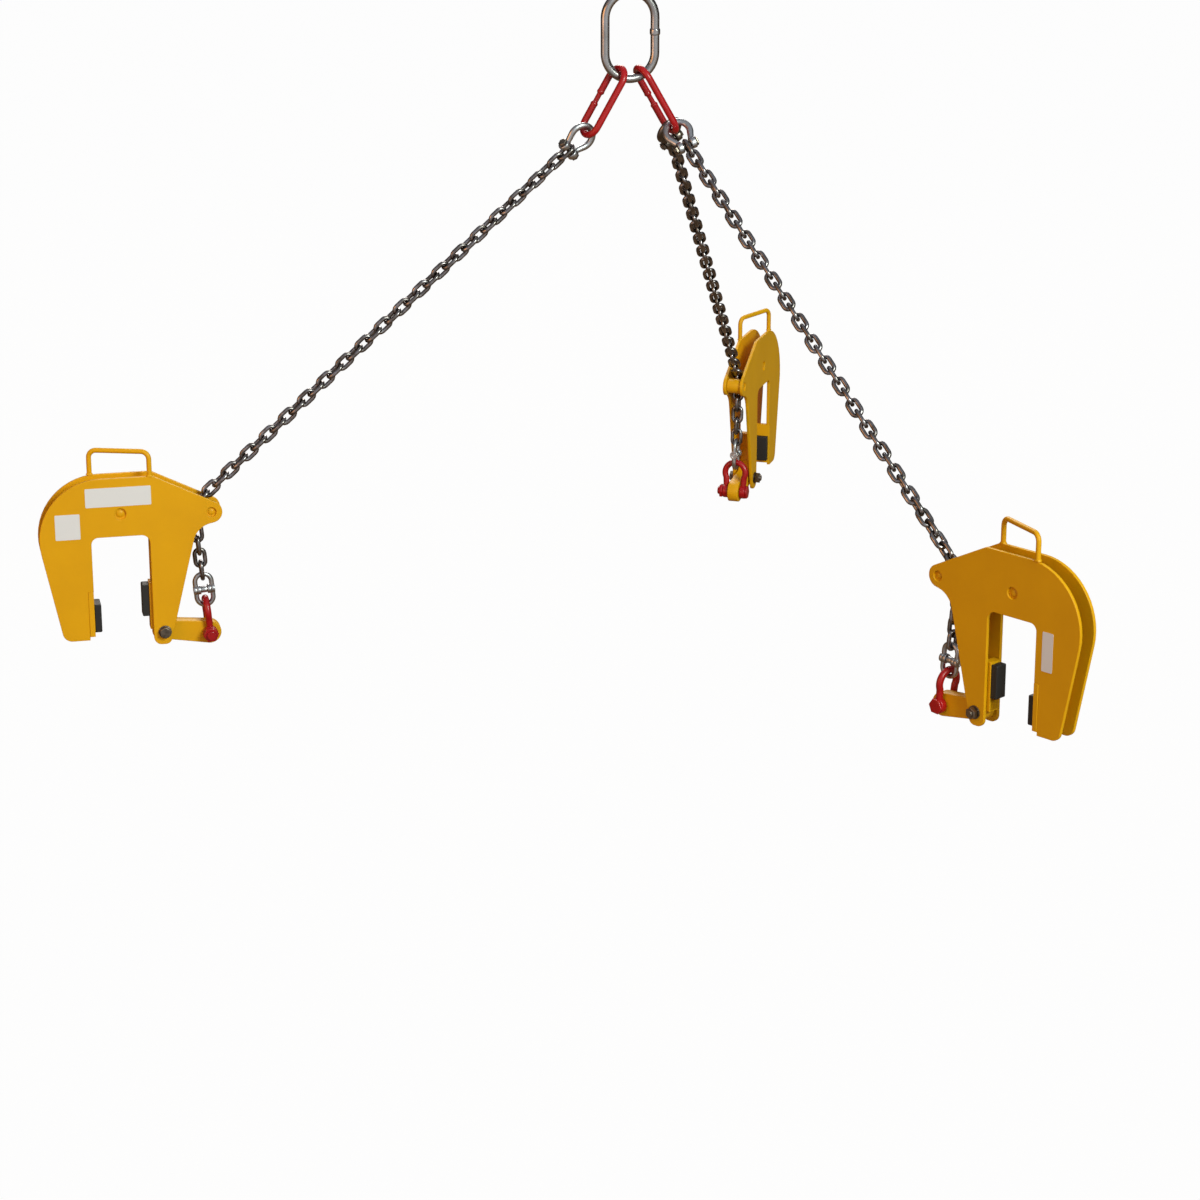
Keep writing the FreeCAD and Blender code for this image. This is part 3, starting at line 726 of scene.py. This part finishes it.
clampPlace = {"out": 915.0, "height": -935.0}
plates = {
    "thick": 6.4, "gap": 29.5, "edge": 0.9, "top": 107.0, "noseX": -131.5, "noseZ": 33.0, "noseRadius": 20.0,
    "slope": 26.6, "throatIn": -19.0, "throatOut": 86.4, "throatTop": -2.0, "backRadius": 112.0,
    "backX": 182.0, "backLean": 11.4, "legBottom": -195.0, "tipBottom": -212.0, "innerLean": 14.1,
    "innerX": -87.4, "innerZ": -60.0, "noseUnder": 11.8, "underBend": 40.0, "topBend": 10.0, "legBend": 18.0,
    "throatOutBend": 13.0, "throatInBend": 16.0, "tipOutBend": 14.0, "tipInBend": 12.0,
}
pins = {"nose": 18.0, "spacer": 21.0, "spacerX": 32.4, "spacerZ": 40.0, "play": 0.1, "recess": 2.5}
# each welded pin end: (height from the recess, share of the pin's radius), from the rim inwards
pinEnd = [(-1.4, 1.0), (-1.7, 0.72), (0.2, 0.50), (0.8, 0.28)]
backing = {"x": 86.8, "thick": 9.6, "top": -103.4, "bottom": -188.4, "proud": 1.0, "play": 0.1, "edge": 0.7}
pad = {
    "bottom": -181.4, "height": 53.0, "thick": 12.8, "half": 19.0, "edge": 1.6, "frontBend": 2.5,
    "backBend": 0.8, "sunk": 0.1,
}


def plateOutline():
    # straight edges between rounded corners, closed by the arc of the nose
    s = plates
    slope = math.radians(s["slope"])
    lean = math.tan(math.radians(s["backLean"]))
    inner = math.tan(math.radians(s["innerLean"]))
    nose, radius = (s["noseX"], s["noseZ"]), s["noseRadius"]
    topOfNose = (nose[0] - radius * math.sin(slope), nose[1] + radius * math.cos(slope))
    topX = topOfNose[0] + (s["top"] - topOfNose[1]) / math.tan(slope)
    notchX = backing["x"] + backing["thick"]
    # the nose's lower tangent falls to meet the inner edge
    below = math.radians(-90 - s["noseUnder"])
    fall = math.tan(math.radians(s["noseUnder"]))
    low = (nose[0] + radius * math.cos(below), nose[1] + radius * math.sin(below))
    run = (s["innerX"] + (s["innerZ"] - low[1]) * inner - low[0]) / (1 - fall * inner)
    tipX = s["innerX"] - (s["tipBottom"] - s["innerZ"]) * inner
    corners = [
        (topX, s["top"], s["topBend"]), (s["backX"] + s["top"] * lean, s["top"], s["backRadius"]),
        (s["backX"] + s["legBottom"] * lean, s["legBottom"], s["legBend"]),
        (notchX, s["legBottom"], 0), (notchX, backing["top"], 0), (s["throatOut"], backing["top"], 0),
        (s["throatOut"], s["throatTop"], s["throatOutBend"]),
        (s["throatIn"], s["throatTop"], s["throatInBend"]),
        (s["throatIn"], s["tipBottom"], s["tipOutBend"]), (tipX, s["tipBottom"], s["tipInBend"]),
        (low[0] + run, low[1] - fall * run, s["underBend"]), (*low, 0), (*topOfNose, 0)]
    noseArc = arc(*nose, radius, -90 - s["noseUnder"], s["slope"] - 270, count=22)
    return np.concatenate([roundedLoop(corners)[:-2], noseArc])


def clampShapes():
    # everything that is fixed between or through the two plates
    s = plates
    half = s["gap"] / 2
    face = half + s["thick"]
    nose = (s["noseX"], s["noseZ"])
    spacer = (pins["spacerX"], pins["spacerZ"])
    loops = [
        plateOutline(), disc(*nose, pins["nose"] / 2 + pins["play"]),
        disc(*spacer, pins["spacer"] / 2 + pins["play"]),
        disc(pivot["x"], pivot["z"], pivot["bolt"] / 2 + pivot["play"], count=24)]
    backEnd = face + backing["proud"]
    back = backing["x"] + backing["thick"] - backing["play"]
    barLoop = rectangle(backing["x"], back, backing["bottom"], backing["top"] - backing["play"])
    padTop = pad["bottom"] + pad["height"]
    front, behind = backing["x"] - pad["thick"], backing["x"] - pad["sunk"]
    padLoop = roundedLoop([
        (front, pad["bottom"], pad["frontBend"]), (behind, pad["bottom"], pad["backBend"]),
        (behind, padTop, pad["backBend"]), (front, padTop, pad["frontBend"])])
    return {
        "side_plates": [slab(loops, side, side + s["thick"], s["edge"]) for side in (-face, half)],
        "nose_pin": [plugWeld(pins["nose"] / 2, face, nose)],
        "mid_spacer": [plugWeld(pins["spacer"] / 2, face, spacer)],
        "backing_bar": [slab([barLoop], -backEnd, backEnd, backing["edge"])],
        "outer_pad": [slab([padLoop], -pad["half"], pad["half"], pad["edge"])],
        "pivot_bolt": pivotBolt(face),
    }


def plugWeld(radius, face, centre):
    # a cross pin welded in its holes: each end dips to a groove round a low dome
    low = face - pins["recess"]
    end = [(low + height, radius * share) for height, share in pinEnd]
    return turned([(-y, r) for y, r in end[::-1]] + end, sides=32, centre=centre)


pivot = {
    "x": -39.0, "z": -188.0, "bolt": 12.0, "play": 0.3, "washer": 12.0, "washerThick": 2.5, "washerPlay": 0.1,
    "washerEdge": 0.4, "across": 1.55, "head": 7.5, "nut": 10.0, "spare": 3.0, "sunk": 4.0, "boltEdge": 0.8,
    "headEdge": 1.0,
}


def pivotBolt(face):
    # the lever's bolt: its shank, a washer on each plate, head and nut
    s = pivot
    centre = (s["x"], s["z"])
    near = face + s["washerPlay"]
    seat = near + s["washerThick"]
    tip = -seat - s["nut"] - s["spare"]
    sixFlats = hexagon(*centre, s["bolt"] * s["across"])
    return [
        shaft(s["bolt"] / 2, tip, seat + s["sunk"], s["boltEdge"], centre=centre),
        shaft(s["washer"], near, seat, s["washerEdge"], sides=28, centre=centre),
        shaft(s["washer"], -seat, -near, s["washerEdge"], sides=28, centre=centre),
        slab([sixFlats], seat, seat + s["head"], s["headEdge"]),
        slab([sixFlats], -seat - s["nut"], -seat, s["headEdge"])]


handle = {
    "bar": 9.2, "in": -23.0, "out": 81.5, "top": 152.5, "bend": 14.0, "sunk": 1.0, "straight": 4.0,
    "weldHalf": 0.75,
}
# the fillet round each foot: (height over the plate, share of the rod's bar)
handleWeld = [(0.0, 0.72), (1.2, 0.66), (3.0, 0.5)]


def handleShape():
    # a rod bent square, standing slantwise from one plate to the other
    s = handle
    middle = plates["gap"] / 2 + plates["thick"] / 2
    first = np.array([s["in"], middle, 0])
    span = np.array([s["out"], -middle, 0]) - first
    length = np.linalg.norm(span)
    b = s["bend"]
    foot = plates["top"] - s["sunk"]
    high = foot + s["straight"]
    left = arc(b, s["top"] - b, b, 180, 90, count=10)
    right = arc(length - b, s["top"] - b, b, 90, 0, count=10)
    path = np.concatenate([[[0, foot], [0, high]], left, right, [[length, high], [length, foot]]])
    verts, faces = planarBar(path, False, s["bar"], s["bar"], sides=16)
    verts = verts[:, [0, 2, 1]]  # the bar's plane stands upright
    rod = placed((verts, outward(verts, faces)), first, span, zAxis)
    return [rod] + handleWelds(first, span)


def handleWelds(first, span):
    # a fillet round each foot, wide at the plate and narrowing up the rod
    shapes = []
    reach = plates["thick"] * handle["weldHalf"]
    for foot in (first, first + span):
        bead, faces = turned([(height, handle["bar"] * share) for height, share in handleWeld], sides=20)
        verts = bead[:, [0, 2, 1]] + [foot[0], foot[1], plates["top"]]
        verts[:, 1] = np.clip(verts[:, 1], foot[1] - reach, foot[1] + reach)
        shapes.append((verts, outward(verts, faces)))
    return shapes


roller = {"bar": 30.0, "play": 0.3, "edge": 1.0, "chainPlay": 0.5}


def eyePlace():
    # the eye hangs on the drop: corner link, five links, coupling link and red shackle in line
    a = math.radians(chain["cornerAngle"])
    normal = np.array([math.cos(a), 0, math.sin(a)])
    along = np.array([normal[2], 0, -normal[0]])
    nose = np.array([plates["noseX"], 0, plates["noseZ"]])
    centre = nose + normal * (roller["bar"] / 2 + chain["width"] / 2 + chain["bar"] + roller["chainPlay"])
    start = centre + along * (chain["pitch"] / 2 - chain["bar"] / 2)
    lean = math.radians(chain["dropLean"])
    down = np.array([-math.sin(lean), 0, -math.cos(lean)])
    seat = start + down * (chain["bar"] / 2 + chain["pitch"] * chain["dropLinks"])
    middle = seat + down * (coupling["length"] / 2)
    eye = seat + down * (coupling["length"] - coupling["hangGap"] + gripShackle["inside"])
    return {
        "centre": centre, "along": along, "start": start, "down": down, "middle": middle, "eye": eye,
    }


def dropLinks(spots):
    # the corner link lies on the roller, and the others hang from it a quarter turn apart
    link = oneLink(chain["pitch"])
    shapes = [placed(link, spots["centre"], spots["along"], yAxis)]
    for i in range(chain["dropLinks"]):
        centre = spots["start"] + spots["down"] * (chain["bar"] / 2 + chain["pitch"] * (i + 0.5))
        normal = np.cross(yAxis, spots["down"]) if i % 2 == 0 else yAxis
        shapes.append(placed(link, centre, spots["down"], normal))
    return shapes


lever = {
    "boss": 17.0, "thick": 22.4, "edge": 1.4, "eye": 21.0, "eyePlay": 0.4, "x": -29.0, "upright": 15.0,
    "half": 13.0, "uprightEdge": 1.2, "top": -95.0, "foot": 4.0,
}
# the web between arm and upright: how high and how far in its corners lie
web = {"foot": 6.0, "top": 62.5, "topIn": 1.0, "bend": 34.5, "bendOut": 4.0, "toe": 12.0, "toeUp": 2.0}


def leverShapes(eye):
    # a bell crank: an arm from the eye to the pivot, and an upright that carries the jaw pad
    s = lever
    half = s["thick"] / 2
    turningPoint = np.array([pivot["x"], pivot["z"]])
    eyeAt = eye[[0, 2]]
    arm = unit(turningPoint - eyeAt)
    side = np.array([-arm[1], arm[0]])
    heading = math.degrees(math.atan2(arm[1], arm[0]))
    back = s["x"] + s["upright"]
    toe = turningPoint + side * (s["boss"] + web["toeUp"]) - arm * web["toe"]
    outline = np.concatenate([
        arc(*eyeAt, s["eye"], heading + 90, heading + 270, count=22),
        arc(*turningPoint, s["boss"], heading - 90, heading, count=10),
        [[back, pivot["z"] + web["foot"]],
         [back, pivot["z"] + web["top"]],
         [s["x"] + web["topIn"], pivot["z"] + web["top"]],
         [s["x"] - web["bendOut"], pivot["z"] + web["bend"]],
         toe]])
    eyeHole = disc(*eyeAt, gripShackle["bolt"] / 2 + s["eyePlay"])
    pivotHole = disc(*turningPoint, pivot["bolt"] / 2 + pivot["play"])
    body = slab([outline, eyeHole, pivotHole], -half, half, s["edge"])
    rise = rectangle(s["x"], back, pivot["z"] + s["foot"], s["top"])
    return [body, slab([rise], -s["half"], s["half"], s["uprightEdge"])]


jaw = {
    "thick": 13.1, "height": 60.0, "half": 12.0, "down": 4.0, "gap": 0.1, "edge": 1.4, "frontBend": 2.5,
    "backBend": 0.8,
}


def jawShape():
    # a moulded block on the lever's upright, rounder at the front
    s = jaw
    behind = lever["x"] + lever["upright"] + s["gap"]
    front = behind + s["thick"]
    top = lever["top"] - s["down"]
    bottom = top - s["height"]
    loop = roundedLoop([
        (behind, bottom, s["backBend"]), (front, bottom, s["frontBend"]), (front, top, s["frontBend"]),
        (behind, top, s["backBend"])])
    return [slab([loop], -s["half"], s["half"], s["edge"])]


def rollerShape():
    # a round bar on the nose pin, between the plates
    half = plates["gap"] / 2 - roller["play"]
    nose = (plates["noseX"], plates["noseZ"])
    return [shaft(roller["bar"] / 2, -half, half, roller["edge"], sides=32, centre=nose)]


film = {"thick": 0.35, "corner": 2.0, "edge": 0.1}
# bare places for labels: the leg, (x0, x1, z0, z1) on its plate, and which plate
labels = {
    "wide_film": {"leg": "a", "corners": (-24.0, 94.2, 55.0, 90.6), "side": 1},
    "square_film": {"leg": "a", "corners": (105.2, 149.8, -2.4, 44.8), "side": 1},
    "upright_film": {"leg": "b", "corners": (100.5, 123.3, -79.0, -10.0), "side": -1},
}


def labelShape(x0, x1, z0, z1, side):
    # a thin film on the outer face of one plate
    face = plates["gap"] / 2 + plates["thick"]
    low, high = sorted((side * face, side * (face + film["thick"])))
    loop = roundedLoop([(x, z, film["corner"]) for x, z in ((x0, z0), (x1, z0), (x1, z1), (x0, z1))])
    return [slab([loop], low, high, film["edge"])]


# for each piece: its finish, the first word of its body, its slot
pieceLooks = {
    "top_shackle_bow": (brightZinc, "shackle", "shackle_zinc"),
    "top_shackle_bolt": (darkBolt, "shackle", "bolt_zinc"),
    "chain_run": (chainSteel, "run", "chain_steel"),
    "chain_drop": (chainSteel, "drop", "chain_steel"),
    "coupling_link": (brightZinc, "drop", "shackle_zinc"),
    "coupling_pin": (brightZinc, "drop", "bolt_zinc"),
    "grip_shackle_bow": (redEnamel, "grip", "red_paint"),
    "grip_shackle_bolt": (redEnamel, "grip", "bolt_zinc"),
    "side_plates": (yellowEnamel, "clamp", "yellow_paint"),
    "carry_handle": (yellowEnamel, "clamp", "yellow_paint"),
    "nose_pin": (yellowEnamel, "clamp", "yellow_paint"),
    "nose_roller": (yellowEnamel, "roller", "yellow_paint"),
    "mid_spacer": (yellowEnamel, "clamp", "yellow_paint"),
    "backing_bar": (yellowEnamel, "clamp", "yellow_paint"),
    "outer_pad": (padRubber, "clamp", "pad_rubber"),
    "grip_lever": (yellowEnamel, "lever", "yellow_paint"),
    "jaw_pad": (padRubber, "lever", "pad_rubber"),
    "pivot_bolt": (darkBolt, "clamp", "bolt_zinc"),
}
otherFinish = {("top_shackle_bow", "c"): paintedShadeZinc}  # the rear bow gets a darker copy of the zinc: painted shade, for the shade it hangs in


def makeLeg(leg):
    # the shackle and the run lie along the chain, and the rest is drawn in the clamp's frame
    across = jointAxis("roller_spin_" + leg)
    out = np.cross(across, zAxis)
    origin = out * clampPlace["out"] + zAxis * clampPlace["height"]
    spots = eyePlace()
    rise = -spots["down"]
    turnedOnce = np.cross(rise, yAxis)
    middle, eye = spots["middle"], spots["eye"]

    bolt = jointPlace("chain_sway_" + leg)
    up = unit(bolt - jointPlace("drop_swing_" + leg))
    normal = np.cross(up, jointAxis("chain_sway_" + leg))
    pieces = {
        "top_shackle_bow": [placed(p, bolt, up, normal) for p in shackleBow(topShackle)],
        "top_shackle_bolt": [placed(p, bolt, up, normal) for p in shackleBolt(topShackle)],
        "chain_run": runLinks(leg),
    }
    local = {
        **clampShapes(),
        "carry_handle": handleShape(),
        "nose_roller": rollerShape(),
        "chain_drop": dropLinks(spots),
        "coupling_link": [placed(p, middle, rise, yAxis) for p in couplingHalves(coupling)],
        "coupling_pin": [placed(p, middle, rise, yAxis) for p in couplingPin(coupling)],
        "grip_shackle_bow": [placed(p, eye, rise, turnedOnce) for p in shackleBow(gripShackle)],
        "grip_shackle_bolt": [placed(p, eye, rise, turnedOnce) for p in shackleBolt(gripShackle)],
        "grip_lever": leverShapes(eye),
        "jaw_pad": jawShape(),
    }
    for name, shapes in local.items():
        pieces[name] = [placed(p, origin, out, zAxis) for p in shapes]
    for name, shapes in pieces.items():
        finish, body, slotName = pieceLooks[name]
        finish = otherFinish.get((name, leg), finish)
        makePiece(name + "_skin_" + leg, shapes, finish, body + "_" + leg, [name + "_" + leg])
    for name, label in labels.items():
        if label["leg"] == leg:
            shapes = [placed(p, origin, out, zAxis) for p in labelShape(*label["corners"], label["side"])]
            makePiece(name, shapes, labelFilm, "clamp_" + leg, [])
    print("leg", leg, "made")


for leg in ("a", "b", "c"):
    makeLeg(leg)

# Floor, light and camera

studio = {
    "height": -1.42, "size": 80.0, "tone": (0.20, 0.125, 0.07), "rough": 0.9, "white": 0.98, "mirrored": 0.6,
    "towards": (0.28, -0.96, 0.0), "from": 0.7, "to": 2.4,
}
lampTarget = Vector((0, 0, -0.7))
lamps = {
    "key_lamp": {"place": (4.6, -3.6, 2.2), "size": (2.4, 2.4), "power": 360.0, "tone": (0.90, 1.0, 0.88)},
    "warm_lamp": {"place": (-3.4, -4.6, 0.6), "size": (3.6, 3.0), "power": 95.0, "tone": (1.0, 0.46, 0.16)},
    "rear_lamp": {"place": (-1.8, 4.4, 2.4), "size": (2.8, 2.0), "power": 190.0, "tone": (1.0, 0.93, 0.84)},
}


def makeFloor():
    s = studio
    bpy.ops.mesh.primitive_plane_add(size=s["size"], location=(0, 0, s["height"]))
    floor = bpy.context.object
    floor.name = "studio_floor"
    f = Finish("studio_floor")
    f.set(Base_Color=colour(*s["tone"]), Roughness=s["rough"])
    glow = f.node("ShaderNodeEmission", inputs={"Color": colour(1, 1, 1), "Strength": 1.0})
    # the camera sees a white that keeps the shadow, and metal sees it too on the camera's
    # side, while the rest of the floor stays brown to it
    near = f.along(f.coordinates(), s["towards"], s["from"], s["to"])
    direct = (f.rays("Is Camera Ray") + f.rays("Is Transmission Ray")) * s["white"]
    seen = direct + f.rays("Is Glossy Ray") * near * s["mirrored"]
    both = f.node("ShaderNodeMixShader", inputs={0: seen, 1: Link(f.tree, f.shader.outputs[0]), 2: glow})
    f.feed(f.tree.nodes["Material Output"], "Surface", both)
    floor.data.materials.append(f.material)


def makeLamp(name, place, size, power, tone):
    # an area lamp that faces the target
    data = bpy.data.lights.new(name, "AREA")
    data.shape = "RECTANGLE"
    data.size, data.size_y = size
    data.energy = power
    data.color = tone
    lamp = bpy.data.objects.new(name, data)
    bpy.context.scene.collection.objects.link(lamp)
    lamp.location = place
    lamp.rotation_euler = (lampTarget - lamp.location).to_track_quat("-Z", "Y").to_euler()


skyStops = [
    (0.0, (0.10, 0.055, 0.025)), (0.48, (0.035, 0.024, 0.016)), (0.70, (0.04, 0.036, 0.034)),
    (0.84, (0.26, 0.27, 0.29)), (1.0, (0.40, 0.41, 0.43)),
]
front = {"towards": (0.36, -0.90, 0.24), "from": 0.50, "to": 0.90, "tone": (0.55, 0.56, 0.60)}


def makeWorld():
    # the camera sees white; the metal sees a dark brown horizon, a bright sky and a bright
    # panel on the camera's side
    world = bpy.data.worlds.new("studio")
    bpy.context.scene.world = world
    world.use_nodes = True
    w = Shading(world.node_tree)
    direction = w.node("ShaderNodeTexCoord", output="Generated")
    height = w.node("ShaderNodeSeparateXYZ", inputs={0: direction}, output="Z") * 0.5 + 0.5
    sky = w.node("ShaderNodeValToRGB", {"stops": skyStops}, {"Fac": height})
    panel = w.along(direction, front["towards"], front["from"], front["to"])
    around = w.mix(panel, sky, colour(*front["tone"]))
    background = w.mix(w.rays("Is Camera Ray"), around, colour(1, 1, 1))
    w.feed(w.tree.nodes["Background"], "Color", background)


camera = {
    "lens": 97.34, "sensor": 36.0, "distance": 5850.0, "height": 1671.0, "yaw": -0.528, "pitch": 17.711,
    "turn": 16.4, "clipEnd": 200.0,
}


def makeCamera():
    data = bpy.data.cameras.new("photo_camera")
    data.lens = camera["lens"]
    data.sensor_width = camera["sensor"]
    data.clip_end = camera["clipEnd"]
    view = bpy.data.objects.new("photo_camera", data)
    bpy.context.scene.collection.objects.link(view)
    turn = Matrix.Rotation(math.radians(camera["turn"]), 3, "Z")
    # its height counts from the clamp's origin
    place = turn @ Vector((0, -camera["distance"], camera["height"])) * mm
    view.location = place + Vector((0, 0, clampPlace["height"] * mm))
    yaw = math.radians(camera["yaw"])
    pitch = math.radians(camera["pitch"])
    ahead = Vector((math.sin(yaw) * math.cos(pitch), math.cos(yaw) * math.cos(pitch), -math.sin(pitch)))
    look = turn @ ahead
    view.rotation_euler = look.to_track_quat("-Z", "Y").to_euler()
    bpy.context.scene.camera = view


makeFloor()
for name, lamp in lamps.items():
    makeLamp(name, **lamp)
makeWorld()
makeCamera()
bpy.context.scene.view_settings.view_transform = "Standard"
print("stage made")
